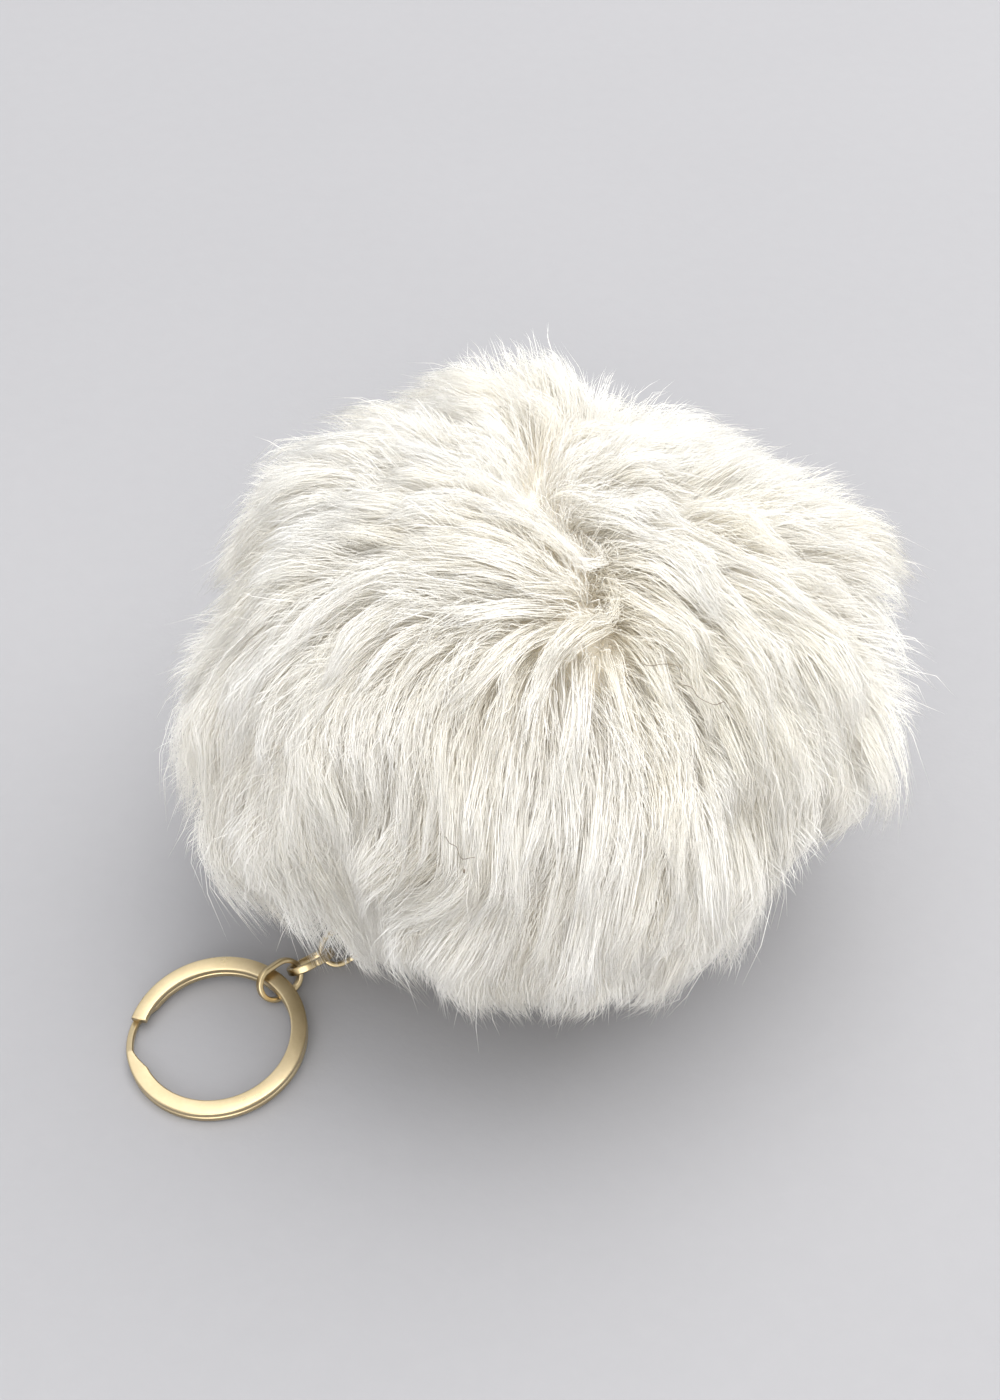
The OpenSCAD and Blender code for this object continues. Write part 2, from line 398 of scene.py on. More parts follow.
def awayFrom(a, b, points, least=0):
    # how far along the line from a to b each point lies, and its way out from there
    along = np.clip(((points - a) @ (b - a)) / ((b - a) @ (b - a)), least, 1)
    return along, points - (a + along[..., None] * (b - a))


def clearOfChain(points, nearGap=2.6 * mm, farGap=4.4 * mm):
    # parts the pile round the chain, closer where the chain goes in
    for leg in range(3):
        along, away = awayFrom(chainStart[leg], chainStart[leg + 1], points)
        distance = np.linalg.norm(away, axis=-1)
        gap = nearGap + (farGap - nearGap) * (leg + along) / 3
        push = np.where(distance < 2 * gap, gap * np.exp(-((distance / gap) ** 2)), 0)
        points += push[..., None] * away / np.maximum(distance, 0.05 * mm)[..., None]
    return points


chainView = dict(
    gaps=(4.0 * mm, 4.4 * mm),  # kept free over the first two legs of the chain
    heights=np.arange(0, 13, 2.5) * mm,  # where the gap is tested, above the chain
    sight=np.array([0, -0.66, 0.75]),  # towards the eye
    covered=(0.2, 0),  # share at the start of each leg that stays under the pile
)


def overChain(places):
    # strands that would hang over the last open link, as seen from above and in front
    over = np.zeros(len(places), dtype=bool)
    for leg, gap in enumerate(chainView["gaps"]):
        for height in chainView["heights"]:
            rise = height * chainView["sight"]
            a, b = chainStart[leg] + rise, chainStart[leg + 1] + rise
            away = awayFrom(a, b, places, chainView["covered"][leg])[1]
            over |= (np.linalg.norm(away, axis=-1) < gap).any(axis=1)
    return over


def growGuides(random):
    count = pile["locks"]
    order = np.arange(count) + 0.5
    height = 1 - 2 * order / count
    golden = math.pi * (1 + 5**0.5) * order
    ring = np.sqrt(1 - height**2)
    roots = np.stack([ring * np.cos(golden), ring * np.sin(golden), height], axis=1)
    roots = unit(roots + random.normal(0, pile["rootStray"], roots.shape))
    roots = roots[roots[:, 2] > math.sin(math.radians(pile["lowest"]))]
    stray = np.radians(random.normal(0, pile["swirl"], len(roots)))
    curl = np.radians(random.normal(0, pile["curl"], len(roots)))
    lengths = random.uniform(0.75, 1.25, len(roots))
    shares = np.linspace(0, 1, pile["guidePoints"])
    along = shares ** pile["ease"]
    reach = combAt(roots)[1] * lengths * pile["reach"] / (pile["guideShare"] * pile["tipRadius"])
    path = [roots]
    for k in range(1, len(shares)):
        here = path[-1]
        way = combAt(here)[0]
        way = turnAbout(here, way, stray + curl * (shares[k] - 0.4))
        path.append(unit(here + way * (reach * (along[k] - along[k - 1]))[:, None]))
    return np.stack(path, axis=1)


def gatherGuides(guides, random):
    # small locks lean into the nearest wide lock
    picked = random.choice(len(guides), pile["bigLocks"], replace=False)
    nearest = picked[np.argmax(guides[:, 0] @ guides[picked, 0].T, axis=1)]
    heading = unit(guides[:, -1] - guides[:, 0])
    alike = np.clip((heading * heading[nearest]).sum(axis=1), 0, 1) ** 3  # none across the parting
    share = alike[:, None] * np.linspace(0, 1, guides.shape[1]) ** pile["ease"] * pile["gather"]
    gathered = guides * (1 - share)[..., None] + guides[nearest] * share[..., None]
    return unit(gathered), nearest


def sampleGuides(guides, lock, share):
    # share is (strands, points) along each strand's lock
    place = np.clip(share, 0, 1) * (guides.shape[1] - 1)
    low = np.minimum(place.astype(int), guides.shape[1] - 2)
    part = (place - low)[..., None]
    return guides[lock[:, None], low] * (1 - part) + guides[lock[:, None], low + 1] * part


def growStrands():
    random = np.random.default_rng(pile["seed"])
    guides, nearest = gatherGuides(growGuides(random), random)
    lockCount = len(guides)
    lock = np.repeat(np.arange(lockCount), pile["strandsPerLock"])
    count = len(lock)
    points = pile["points"]
    share = np.linspace(0, 1, points)[None, :]

    # where each strand starts round its lock, and how it closes on the lock's tip
    root = guides[lock, 0]
    sideA = unit(np.cross(root, anyWay))
    sideB = np.cross(root, sideA)
    angle = random.uniform(0, 2 * math.pi, count)
    out = np.sqrt(random.uniform(0, 1, count)) * pile["lockRadius"] / pile["tipRadius"]
    offset = (np.cos(angle) * out)[:, None] * sideA + (np.sin(angle) * out)[:, None] * sideB
    closing = pile["closing"] * combAt(guides[:, 0])[1]
    closing = closing + random.uniform(*pile["closingStray"], lockCount)
    closing = np.clip(closing, *pile["closingLimits"])[lock]
    free = random.uniform(0, 1, count) < pile["flyaway"]
    closing = np.where(free, random.uniform(-0.6, 0.2, count), closing)
    lengths = random.triangular(0.6, 1.0, 1.0, count)
    fuzz = random.uniform(0, 1, count) < pile["fuzz"]
    run = np.where(fuzz, random.uniform(0.1, 0.5, count), lengths)  # how far along the ball
    closing = np.where(fuzz, 0.1, closing)
    spread = 1 - closing[:, None] * share ** pile["ease"]
    middles = sampleGuides(guides, lock, share * run[:, None])
    directions = unit(middles + offset[:, None] * spread[..., None])

    # how it rises from the backing to the combed surface
    bulge = random.uniform(*pile["bulge"], count)[:, None]
    rise = 1 - (1 - share * lengths[:, None]) ** bulge
    wideLift = random.normal(0, pile["wideLift"], lockCount)[nearest[lock]]
    lockLift = random.normal(0, pile["lockLift"], lockCount)[lock]
    lift = (wideLift + lockLift + random.normal(0, pile["strandLift"], count))[:, None]
    lift = lift + np.where(free, random.uniform(0.01, 0.07, count), 0)[:, None]
    level = pile["rootShare"] + (1 - pile["rootShare"]) * rise + lift * share
    places = ballCentre + directions * (surfaceRadius(directions) * level)[..., None]

    # fine waves
    heading = unit(places[:, -1] - places[:, 0])
    across = unit(np.cross(heading, root))
    up = np.cross(across, heading)
    beat = random.uniform(0.6, 2.2, (count, 2))
    phase = random.uniform(0, 2 * math.pi, (count, 2))
    size = pile["frizz"] * random.gamma(2.0, 0.5, count) * np.where(free, 2.2, 1)
    for way, k in ((across, 0), (up, 1)):
        wave = np.sin(2 * math.pi * beat[:, k, None] * share + phase[:, k, None]) * share
        places += (size[:, None] * wave)[..., None] * way[:, None]
    kept = ~overChain(places)
    places, across, lock = places[kept], across[kept], lock[kept]
    count = len(places)
    places = aboveTable(clearOfChain(places))

    profile = np.interp(share[0], [0, 0.15, 0.6, 0.85, 1], [0.8, 1, 1, 0.6, 0.1])
    widths = pile["strandWidth"] * random.uniform(0.65, 1.3, count)[:, None] * profile
    tint = 0.5 + 0.2 * random.normal(0, 1, lockCount)[nearest[lock]]
    tint += 0.12 * random.normal(0, 1, lockCount)[lock]
    # partly painted shade: strands in these patches get a creamier, darker tint over the hollows
    # and the parting
    creamAndShade = np.array(creamAndShadePatches)
    creamAndShadePlace = ballDirection(creamAndShade[:, 0], creamAndShade[:, 1])
    tint -= (nearness(guides[:, 0], creamAndShadePlace, creamAndShade[:, 2]) @ creamAndShade[:, 3])[lock]
    tint = np.clip(tint + 0.1 * random.normal(0, 1, count), 0.02, 0.98)
    return places, widths, tint, share[0], across


strandLayer = "OFBake"  # the strands' own layout: along the strand, and its tint


def strandMesh(name, places, widths, tint, share, across, random):
    count, points = places.shape[:2]
    sides = 3
    tangent = unit(np.gradient(places, axis=1))
    sideA = unit(across[:, None] - (across[:, None] * tangent).sum(-1, keepdims=True) * tangent)
    sideB = np.cross(tangent, sideA)
    start = random.uniform(0, 2 * math.pi, count)
    rings = []
    for side in range(sides):
        a = start + 2 * math.pi * side / sides
        way = np.cos(a)[:, None, None] * sideA + np.sin(a)[:, None, None] * sideB
        rings.append(places + way * widths[..., None] / 2)
    rings = np.stack(rings, axis=2)[:, :-1]  # strand, ring, side
    verts = np.concatenate([rings.reshape(count, -1, 3), places[:, -1:]], axis=1)
    each = verts.shape[1]
    pattern, starts, at = [], [], 0
    for k in range(points - 2):
        for side in range(sides):
            a, b = k * sides + side, k * sides + (side + 1) % sides
            pattern += [a, b, b + sides, a + sides]
            starts.append(at)
            at += 4
    last = (points - 2) * sides
    for side in range(sides):
        pattern += [last + side, last + (side + 1) % sides, each - 1]
        starts.append(at)
        at += 3
    pattern += [2, 1, 0]
    starts.append(at)
    at += 3
    base = np.arange(count)[:, None]
    loopVerts = (base * each + np.array(pattern)).ravel()
    loopStarts = (base * at + np.array(starts)).ravel()
    mesh = meshFromArrays(name, verts.reshape(-1, 3), loopVerts, loopStarts)
    along = np.concatenate([np.repeat(share[:-1], sides), [1.0]])
    uv = np.empty((count, at, 2), dtype=np.float32)
    uv[..., 0] = 0.01 + 0.98 * along[np.array(pattern)]
    uv[..., 1] = tint[:, None]
    mesh.uv_layers.new(name=strandLayer).data.foreach_set("uv", uv.ravel())
    return mesh


def strandLayout(start):
    layer = start.node("ShaderNodeUVMap", {"uv_map": strandLayer})
    return start.node("ShaderNodeSeparateXYZ", {}, {"Vector": layer})


def furMaterial():
    material, start = newMaterial("cream_fur")
    layout = strandLayout(start)
    along, tint = layout.pick("X"), layout.pick("Y")
    shaft = rampOf(start, [
        (0.0, (0.972, 0.945, 0.885)), (0.35, (0.988, 0.975, 0.945)),
        (0.7, (0.993, 0.987, 0.97)), (1.0, (0.995, 0.991, 0.98)),
    ], along)
    cast = rampOf(start, [
        (0.0, (0.985, 0.965, 0.91)), (0.45, (0.997, 0.99, 0.973)), (1.0, (1.0, 1.0, 1.0)),
    ], tint)
    body = principled(start, {
        "Base Color": shaft.mix(cast, 1.0, "MULTIPLY"),
        "Roughness": 0.5,
        "Specular IOR Level": 0.35,
        # stands for light that lingers between the strands
        "Emission Color": (1.0, 0.92, 0.78, 1),
        "Emission Strength": 0.035,
    })
    glow = start.node("ShaderNodeBsdfTranslucent", {}, {"Color": (0.993, 0.987, 0.97, 1)})
    setSurface(start, start.node("ShaderNodeMixShader", {}, {"Fac": 0.5, 1: body, 2: glow}))
    return material


def undercoatMaterial():
    material, start = newMaterial("dense_undercoat")
    place = objectPlace(start)
    tuft = noiseAt(start, place, 420.0, 4.0, 0.65)
    patch = noiseAt(start, place, 60.0, 2.0)
    stops = [(0.3, (0.80, 0.74, 0.63)), (0.7, (0.92, 0.885, 0.81))]
    colour = rampOf(start, stops, 0.6 * tuft + 0.4 * patch)
    bump = bumpFrom(start, tuft, 0.6, 0.6 * mm)
    setSurface(start, principled(start, {
        "Base Color": colour, "Normal": bump, "Roughness": 0.95, "Specular IOR Level": 0.1}))
    return material


def ballMesh(name, radiusAt, subdivisions=6):
    bpy.ops.mesh.primitive_ico_sphere_add(subdivisions=subdivisions, radius=1)
    ball = bpy.context.object
    mesh = ball.data
    mesh.name = name
    verts = np.empty(len(mesh.vertices) * 3, dtype=np.float32)
    mesh.vertices.foreach_get("co", verts)
    directions = unit(verts.reshape(-1, 3).astype(float))
    places = ballCentre + directions * radiusAt(directions)[:, None]
    mesh.vertices.foreach_set("co", aboveTable(places).astype(np.float32).ravel())
    mesh.polygons.foreach_set("use_smooth", np.full(len(mesh.polygons), True))
    mesh.update()
    bpy.data.objects.remove(ball)
    return mesh


def makePile():
    fur = furMaterial()
    places, widths, tint, share, across = growStrands()
    random = np.random.default_rng(pile["seed"] + 1)
    for band, chosen in enumerate(np.array_split(np.arange(len(places)), pile["bands"])):
        name = f"pile_band_{band + 1:02d}"
        some = places[chosen], widths[chosen], tint[chosen], share, across[chosen]
        addPiece(name, strandMesh(name, *some, random), "pom", fur)
    print("strands grown:", len(places))

    neck = unit(chainStart[0] - ballCentre)

    def underRadius(directions):
        dent = pile["dentDepth"] * nearness(directions, neck[None], pile["dentSpread"])[:, 0]
        return surfaceRadius(directions) * pile["underShare"] - dent

    mesh = ballMesh("undercoat", underRadius)
    coat = addPiece("undercoat", mesh, "pom", undercoatMaterial(), ["fur_pile"])
    print("undercoat made")


# Short frizz where the chain comes out of the pile, brownish and dark in places: partly its own
# brownish tone, partly painted shade in the dent round the chain
frizz = dict(
    seed=21, count=900, length=3.2 * mm, width=0.07 * mm,
    spread=2.3 * mm, curl=0.5 * mm, inwards=1.2 * mm,
)


def makeFrizz():
    random = np.random.default_rng(frizz["seed"])
    count, points = frizz["count"], pile["points"]
    neck = unit(chainStart[0] - ballCentre)
    middle = (chainStart[0] + chainStart[1]) / 2 - neck * frizz["inwards"]
    ways = unit(random.normal(0, 1, (count, 3)) + 0.9 * neck)
    roots = middle + random.normal(0, 1, (count, 3)) * frizz["spread"] * np.array([1, 1, 0.5])
    share = np.linspace(0, 1, points)
    long = frizz["length"] * random.uniform(0.4, 1.2, count)
    places = roots[:, None] + ways[:, None] * (long[:, None] * share)[..., None]
    wave = random.uniform(0, 2 * math.pi, (count, 1, 3))
    wave = wave + share[None, :, None] * random.uniform(3, 8, (count, 1, 3))
    places = aboveTable(places + frizz["curl"] * (np.sin(wave) - np.sin(wave[:, :1])))
    profile = frizz["width"] * np.interp(share, [0, 0.6, 1], [1, 0.9, 0.2])
    widths = np.broadcast_to(profile, (count, points))
    material, start = newMaterial("brownish_shaded_frizz")
    # partly painted shade: the darkest brown strands stand in for the shade where the chain goes
    # in
    stops = [(0.0, (0.30, 0.25, 0.19)), (0.6, (0.62, 0.56, 0.47)), (1.0, (0.88, 0.85, 0.78))]
    colour = rampOf(start, stops, strandLayout(start).pick("Y"))
    setSurface(start, principled(start, {"Base Color": colour, "Roughness": 0.6}))
    across = unit(np.cross(ways, np.array([0.2, 0.3, 0.9])))
    tint = random.uniform(0.02, 0.98, count)
    mesh = strandMesh("neck_frizz", places, widths, tint, share, across, random)
    addPiece("neck_frizz", mesh, "pom", material)
    print("frizz made")


# Inside the pile: cloth, filling, thread, cord
inner = dict(
    clothRadius=31 * mm, clothThick=1 * mm,
    neckRadius=4.5 * mm, neckLength=5 * mm,
    pleats=17, pleatDepth=0.35 * mm,
    shoulder=15,  # degrees from the neck at which the cloth leaves the ball
    pitEdge=13, pitSlope=3.5, pitDepth=10 * mm,  # the pit for the knot, in degrees and deep
    threadRadius=0.4 * mm, threadTurns=3,
    cordRadius=0.7 * mm, plyTwist=4.2 * mm,  # length of one twist of the cord's two plies
    loopRadius=2.2 * mm, loopRoll=-42, knotAt=24 * mm, loopPast=1 * mm,
)


def neckFrame():
    neck = unit(chainStart[0] - ballCentre)
    level = unit(np.cross(np.array([0, 0, 1.0]), neck))
    return neck, level, np.cross(neck, level)


def fabricMaterial(name, dark, pale, scale, bumpDepth, ribs=None):
    material, start = newMaterial(name)
    place = objectPlace(start)
    fibre = noiseAt(start, place, scale, 3.0, 0.6)
    height = fibre
    if ribs:
        rib = start.node("ShaderNodeTexWave", {"wave_profile": "SIN"}, {
            "Vector": place, "Scale": ribs, "Distortion": 1.5})
        row = start.node("ShaderNodeTexWave", {"wave_profile": "SIN", "bands_direction": "Z"}, {
            "Vector": place, "Scale": ribs * 0.8, "Distortion": 1.0})
        height = 0.5 * rib.pick("Fac") + 0.35 * row.pick("Fac") + 0.3 * fibre
    colour = rampOf(start, [(0.25, dark), (0.8, pale)], height)
    bump = bumpFrom(start, height, 0.8, bumpDepth)
    setSurface(start, principled(start, {
        "Base Color": colour, "Normal": bump, "Roughness": 0.9, "Specular IOR Level": 0.2}))
    return material


def trefoil(tie, rise=1):
    # the course of a simple knot
    across = np.sin(tie) + 2 * np.sin(2 * tie), np.cos(tie) - 2 * np.cos(2 * tie)
    return np.stack([*across, -rise * np.sin(3 * tie)], axis=1)


def makeInside():
    neck, level, up = neckFrame()
    cloth = fabricMaterial(
        "knitted_backing", (0.62, 0.57, 0.47), (0.83, 0.79, 0.70), 700.0, 0.3 * mm, 300.0)
    wool = fabricMaterial(
        "fibre_filling", (0.80, 0.80, 0.78), (0.93, 0.93, 0.92), 320.0, 1.2 * mm)
    thread = fabricMaterial(
        "gathering_thread", (0.74, 0.70, 0.60), (0.90, 0.87, 0.78), 1500.0, 0.1 * mm)
    cord = fabricMaterial(
        "loop_cord", (0.66, 0.61, 0.50), (0.88, 0.84, 0.74), 1300.0, 0.15 * mm)

    # backing: out over the ball, along the pleated neck and back inside it
    radius, thick = inner["clothRadius"], inner["clothThick"]
    shoulder = math.radians(inner["shoulder"])
    rim = radius + inner["neckLength"]
    outside = [(radius * math.cos(a), radius * math.sin(a), 0)
               for a in np.linspace(math.pi - 0.01, shoulder, 70)]
    first = outside[-1]
    for part in np.linspace(0.1, 1, 10):
        ease = part * part * (3 - 2 * part)
        x = first[0] + (rim - first[0]) * part
        y = first[1] + (inner["neckRadius"] - first[1]) * ease**0.5
        outside.append((x, y, part))
    inside = [(x - thick * (x > 0) * 0.4, max(y - 1.3 * thick, 0.1 * mm), pleat)
              for x, y, pleat in outside[::-1]]
    shrink = (radius - thick) / radius
    inside[10:] = [(x * shrink, y * shrink, 0) for x, y, pleat in outside[:-10][::-1]]
    turn = 2 * math.pi * np.arange(136) / 136
    rows = []
    for x, y, pleat in outside + inside:
        wave = y + pleat * inner["pleatDepth"] * np.cos(inner["pleats"] * turn)
        rows.append(ballCentre + x * neck + wave[:, None] * circleOf(turn, level, up))
    mesh = gridMesh("backing_knit", np.array(rows), False, caps=True)
    addPiece("backing_knit", mesh, "pom", cloth, ["backing_cloth"])

    # filling, with a pit where the knot lies
    def fillingRadius(directions):
        angle = np.degrees(np.arccos(np.clip(directions @ neck, -1, 1)))
        pit = np.clip((inner["pitEdge"] - angle) / inner["pitSlope"], 0, 1)
        lumps = np.sin(directions @ (waveWay.T * 1.4) + wavePhase).sum(axis=1) * 0.14 * mm
        dip = inner["pitDepth"] * pit * pit * (3 - 2 * pit)
        return radius - thick - 0.9 * mm + lumps - dip

    mesh = ballMesh("fibre_filling", fillingRadius, 5)
    filling = addPiece("fibre_filling", mesh, "pom", wool, ["stuffing"])

    # thread wound round the neck, tied off in a small knot
    wound = inner["neckRadius"] + inner["pleatDepth"] + inner["threadRadius"]
    turns = np.linspace(0, 2 * math.pi * inner["threadTurns"], 150)
    along = radius + 1.6 * mm + turns / (2 * math.pi) * 2 * inner["threadRadius"]
    winding = ballCentre + along[:, None] * neck + wound * circleOf(turns, level, up)
    mesh = tubeMesh("gather_winding", winding, inner["threadRadius"])
    addPiece("gather_winding", mesh, "pom", thread, ["gather_thread"])
    tie = np.linspace(0, 2 * math.pi, 60)
    knot = trefoil(tie) * 0.32 * mm
    knotPlace = ballCentre + (radius + 2.8 * mm) * neck + (wound + 0.9 * mm) * level
    knot = knotPlace + knot[:, :1] * neck + knot[:, 1:2] * up + knot[:, 2:] * level
    mesh = tubeMesh("gather_knot", knot[:-1], 0.3 * mm, closed=True)
    addPiece("gather_knot", mesh, "pom", thread)

    # cord of two plies: up one leg, round the first link's wire and back
    roll = math.radians(inner["loopRoll"])
    side = math.cos(roll) * level + math.sin(roll) * up
    end = np.linalg.norm(chainStart[0] - ballCentre) + inner["loopPast"] - inner["loopRadius"]
    bend = inner["loopRadius"]
    leg = np.linspace(inner["knotAt"], end, 60)
    course = [x * neck - bend * side for x in leg]
    course += [(end + bend * math.sin(a)) * neck - bend * math.cos(a) * side
               for a in np.linspace(0.1, math.pi - 0.1, 26)]
    course += [x * neck + bend * side for x in leg[::-1]]
    course = ballCentre + np.array(course)
    ways = unit(np.gradient(course, axis=0))
    off = np.cross(side, neck)
    beside = unit(np.cross(ways, off))
    steps = np.linalg.norm(np.diff(course, axis=0), axis=1)
    length = np.concatenate([[0], np.cumsum(steps)])
    ply = inner["cordRadius"] * 0.52
    for number in range(2):
        angle = 2 * math.pi * length / inner["plyTwist"] + math.pi * number
        path = course + ply * circleOf(angle, off, beside)
        name = f"loop_ply_{number + 1}"
        stands = ["hanging_loop"] if number == 0 else []
        addPiece(name, tubeMesh(name, path, ply * 1.05, 10), "pom", cord, stands)
    knot = trefoil(tie, 1.3) * 0.8 * mm
    knotPlace = ballCentre + inner["knotAt"] * neck
    knot = knotPlace + knot[:, :1] * side + knot[:, 1:2] * off + knot[:, 2:] * neck
    mesh = tubeMesh("loop_knot", knot[:-1], inner["cordRadius"], 10, closed=True)
    addPiece("loop_knot", mesh, "pom", cord)
    print("inside made")


# A few dark fibres caught in the pile: where each starts, where it heads, its length
strayFibres = [
    dict(place=(22, 47), heading=62, length=9 * mm, bend=38),
    dict(place=(31, 41), heading=78, length=8 * mm, bend=-30),
    dict(place=(-15, 23), heading=60, length=5 * mm, bend=-35),
]
strayThickness = 0.045 * mm
strayPoints = 24


def makeStrays():
    dark, start = newMaterial("dark_fibre")
    stops = [(0.3, (0.10, 0.075, 0.05)), (0.8, (0.20, 0.16, 0.12))]
    colour = rampOf(start, stops, noiseAt(start, objectPlace(start), 900.0))
    setSurface(start, principled(start, {"Base Color": colour, "Roughness": 0.5}))
    for number, fibre in enumerate(strayFibres):
        here = ballDirection(*fibre["place"])[None]
        path = []
        for k in range(strayPoints):
            height = surfaceRadius(here)[0] + 0.9 * mm + 0.5 * mm * math.sin(0.5 * k)
            path.append(ballCentre + here[0] * height)
            angle = math.radians(fibre["heading"] + fibre["bend"] * math.sin(k / 5))
            way = math.sin(angle) * toRight + math.cos(angle) * downFront
            way = unit(way - (way @ here[0]) * here[0])
            here = unit(here + way * fibre["length"] / strayPoints / pile["tipRadius"])
        name = f"stray_fibre_{number + 1}"
        addPiece(name, tubeMesh(name, path, strayThickness, 5), "pom", dark)
    # one tiny fleck of dark lint
    here = ballDirection(-12, 18)[None]
    spot = ballCentre + here[0] * (surfaceRadius(here)[0] + 0.6 * mm)
    fleck = [spot + downFront * 0.1 * mm * k for k in range(-3, 4)]
    thick = 0.16 * mm * np.array([0.2, 0.7, 0.95, 1, 0.9, 0.7, 0.2])
    addPiece("lint_fleck", tubeMesh("lint_fleck", fleck, thick, 7), "pom", dark)
    print("stray fibres made")


# Metal: links and split ring
links = dict(
    length=8.1 * mm, width=6 * mm,  # outside sizes
    wireThick=0.82 * mm,  # in the plane of the link
    wireWide=1.26 * mm,  # across it
    corner=0.24 * mm,
    rolls=[45, -45, 45, -55],  # degrees each link is rolled about its length
    seamDepth=0.10 * mm, seamWidth=0.12 * mm,  # the closed joint in one straight side
)
ring = dict(
    outer=14 * mm, band=2.5 * mm, thick=1.05 * mm, gap=0.1 * mm, corner=0.28 * mm,
    neckWidth=1.1 * mm,
    stepFrom=167, stepTo=192,  # degrees between which the wire changes layer
    flare=17,  # degrees over which it narrows
)


def goldMaterial(name, base, pale, roughness):
    material, start = newMaterial(name)
    place = objectPlace(start)
    cloud = noiseAt(start, place, 180.0, 3.0)
    rub = noiseAt(start, place, 1600.0, 3.0, 0.7)
    colour = rampOf(start, [(0.3, base), (0.75, pale)], 0.7 * cloud + 0.3 * rub)
    bump = bumpFrom(start, rub, 0.12, 0.05 * mm)
    setSurface(start, principled(start, {
        "Base Color": colour, "Metallic": 1.0,
        "Roughness": roughness + 0.16 * (cloud - 0.5), "Normal": bump}))
    return material


def linkFrame(number):
    # a link's middle, its length and its plane, from the joints at its two ends
    start = chainStart[number]
    if number + 1 < len(chainStart):
        middle = (start + chainStart[number + 1]) / 2
    else:
        low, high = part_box("chain_link_4")
        middle = np.array((low + high) / 2)
    lengthWay = unit(middle - start)
    level = unit(np.cross(np.array([0, 0, 1.0]), lengthWay))
    up = np.cross(lengthWay, level)
    roll = math.radians(links["rolls"][number])
    sideWay = math.cos(roll) * level + math.sin(roll) * up
    return middle, lengthWay, sideWay, np.cross(lengthWay, sideWay)


def makeLinks():
    gold = goldMaterial("pale_gold_link", (0.50, 0.39, 0.215), (0.62, 0.50, 0.30), 0.30)
    endRadius = (links["width"] - links["wireThick"]) / 2
    straight = links["length"] - links["width"]
    turn = 28
    course = []  # points along the wire's middle, with the outward way, in the link's plane
    for side in (1, -1):
        for k in range(turn + 1):
            a = side * math.pi / 2 - math.pi * k / turn
            x, y = math.cos(a), math.sin(a)
            course.append((side * straight / 2 + endRadius * x, endRadius * y, x, y))
        for k in range(1, 10):
            part = k / 10
            course.append((side * straight * (0.5 - part), -side * endRadius, 0, -side))
    course = np.array(course)
    section = roundedSection(links["wireThick"], links["wireWide"], links["corner"])
    for number in range(len(chainStart)):
        middle, lengthWay, sideWay, across = linkFrame(number)
        rows = []
        for x, y, outX, outY in course:
            seam = links["seamDepth"] * math.exp(-((x / links["seamWidth"]) ** 2)) if y > 0 else 0
            place = middle + x * lengthWay + y * sideWay
            out = outX * lengthWay + outY * sideWay
            shrink = 1 - seam / links["wireThick"] * 2
            rows.append([place + out * u * shrink + across * v * shrink for u, v in section])
        body = f"link_{number + 1}"
        mesh = gridMesh(f"{body}_wire", np.array(rows), True)
        addPiece(f"{body}_wire", mesh, body, gold, [f"chain_{body}"])
    print("links made")


def makeRing():
    gold = goldMaterial("satin_gold_ring", (0.53, 0.425, 0.25), (0.64, 0.525, 0.335), 0.30)
    joint = jointAt["ring_turn"]
    centre, axis = np.array(joint["pos_m"]), np.array(joint["axis"])
    lean = np.array(Vector((0, 0, 1)).rotation_difference(Vector(axis)).to_matrix())
    step = ring["stepTo"] - ring["stepFrom"]
    layer = (ring["thick"] + ring["gap"]) / 2
    angles = np.arange(ring["stepTo"] + ring["flare"], ring["stepFrom"] + 720 + 0.01, 1.0)
    rows = []
    for angle in angles:
        fromStep = min(abs(angle - ring["stepFrom"] - 360), abs(angle - ring["stepTo"] - 360))
        inStep = ring["stepFrom"] + 360 <= angle <= ring["stepTo"] + 360
        narrow = 1 if inStep else max(0, 1 - fromStep / ring["flare"])
        width = ring["band"] + (ring["neckWidth"] - ring["band"]) * narrow
        climb = min(max((angle - ring["stepFrom"] - 360) / step, 0), 1)
        z = -layer + 2 * layer * climb
        middleR = ring["outer"] - width / 2
        a = math.radians(angle)
        out = np.array([math.cos(a), math.sin(a), 0])
        section = roundedSection(width, ring["thick"], ring["corner"], 5)
        rows.append([centre + lean @ (out * (middleR + u) + np.array([0, 0, z + v]))
                     for u, v in section])
    mesh = gridMesh("ring_wire", np.array(rows), False, caps=True)
    addPiece("ring_wire", mesh, "ring", gold, ["split_ring"])
    print("ring made")


# Floor, light and camera
room = dict(
    floorColour=(0.305, 0.302, 0.311),
    # name, place, size, watts
    lights=[("window", (0.5, 0.35, 1.0), 1.6, 15), ("frontFill", (-0.1, -1.1, 0.45), 1.2, 9)],
    sky=[(0.0, 0.32), (0.76, 0.31), (0.88, 0.6), (0.96, 1.0)],  # brightness up from the horizon
    skyColour=(0.97, 0.98, 1.0), skyStrength=3.1,
    cameraPlace=(-0.006, -0.2064, 0.2577), cameraPitch=47.0, lens=50,
    bounces=24,
)


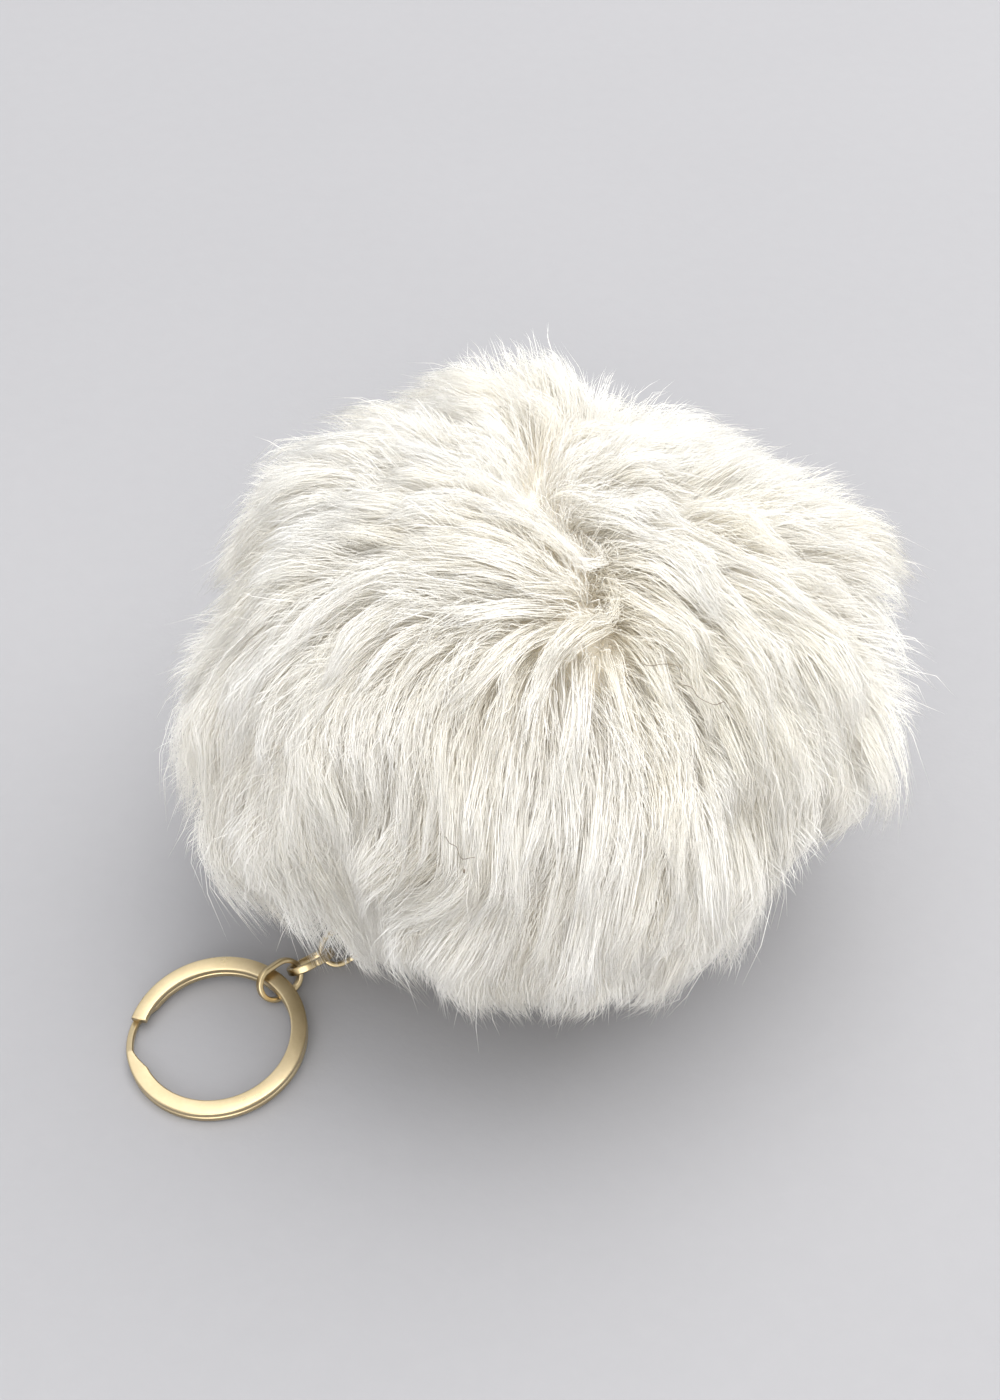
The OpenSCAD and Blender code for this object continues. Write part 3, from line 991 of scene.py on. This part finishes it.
def makeRoom():
    bpy.ops.mesh.primitive_grid_add(x_subdivisions=8, y_subdivisions=8, size=6)
    floor = bpy.context.object
    floor.name = "table_top"
    material, start = newMaterial("pale_table")
    place = objectPlace(start)
    mottle = noiseAt(start, place, 9.0, 4.0)
    grain = noiseAt(start, place, 260.0, 3.0, 0.6)
    low = tuple(0.96 * c for c in room["floorColour"])
    stops = [(0.3, low), (0.7, room["floorColour"])]
    colour = rampOf(start, stops, 0.6 * mottle + 0.4 * grain)
    bump = bumpFrom(start, grain, 0.25, 0.3 * mm)
    setSurface(start, principled(start, {
        "Base Color": colour, "Normal": bump, "Roughness": 0.8, "Specular IOR Level": 0.2}))
    floor.data.materials.append(material)

    world = bpy.data.worlds.new("studio")
    bpy.context.scene.world = world
    world.use_nodes = True
    world.node_tree.nodes.clear()
    sky = Sock(world.node_tree)
    way = sky.node("ShaderNodeTexCoord").pick("Generated")
    height = sky.node("ShaderNodeSeparateXYZ", {}, {"Vector": way}).pick("Z")
    glow = rampOf(sky, [(place, (level,) * 3) for place, level in room["sky"]], height)
    light = sky.node("ShaderNodeBackground", {}, {
        "Color": glow * room["skyColour"], "Strength": room["skyStrength"]})
    sky.node("ShaderNodeOutputWorld", {}, {"Surface": light})

    for name, place, size, power in room["lights"]:
        light = bpy.data.lights.new(name, "AREA")
        light.shape = "DISK"
        light.size = size
        light.energy = power
        light.color = (1.0, 0.99, 0.97)
        lamp = bpy.data.objects.new(name, light)
        bpy.context.scene.collection.objects.link(lamp)
        lamp.location = place
        aim = Vector((0, 0, 0.03)) - lamp.location
        lamp.rotation_euler = aim.to_track_quat("-Z", "Y").to_euler()

    camera = bpy.data.cameras.new("camera")
    camera.lens = room["lens"]
    camera.clip_start = 0.01
    cameraObject = bpy.data.objects.new("camera", camera)
    bpy.context.scene.collection.objects.link(cameraObject)
    cameraObject.location = room["cameraPlace"]
    cameraObject.rotation_euler = (math.radians(90 - room["cameraPitch"]), 0, 0)
    bpy.context.scene.camera = cameraObject
    bpy.context.scene.view_settings.view_transform = "Standard"
    # light passes many times between pale strands
    cycles = bpy.context.scene.cycles
    cycles.max_bounces = room["bounces"]
    cycles.transmission_bounces = room["bounces"]
    cycles.diffuse_bounces = room["bounces"]
    print("room made")


makePile()
makeFrizz()
makeInside()
makeStrays()
makeLinks()
makeRing()
makeRoom()
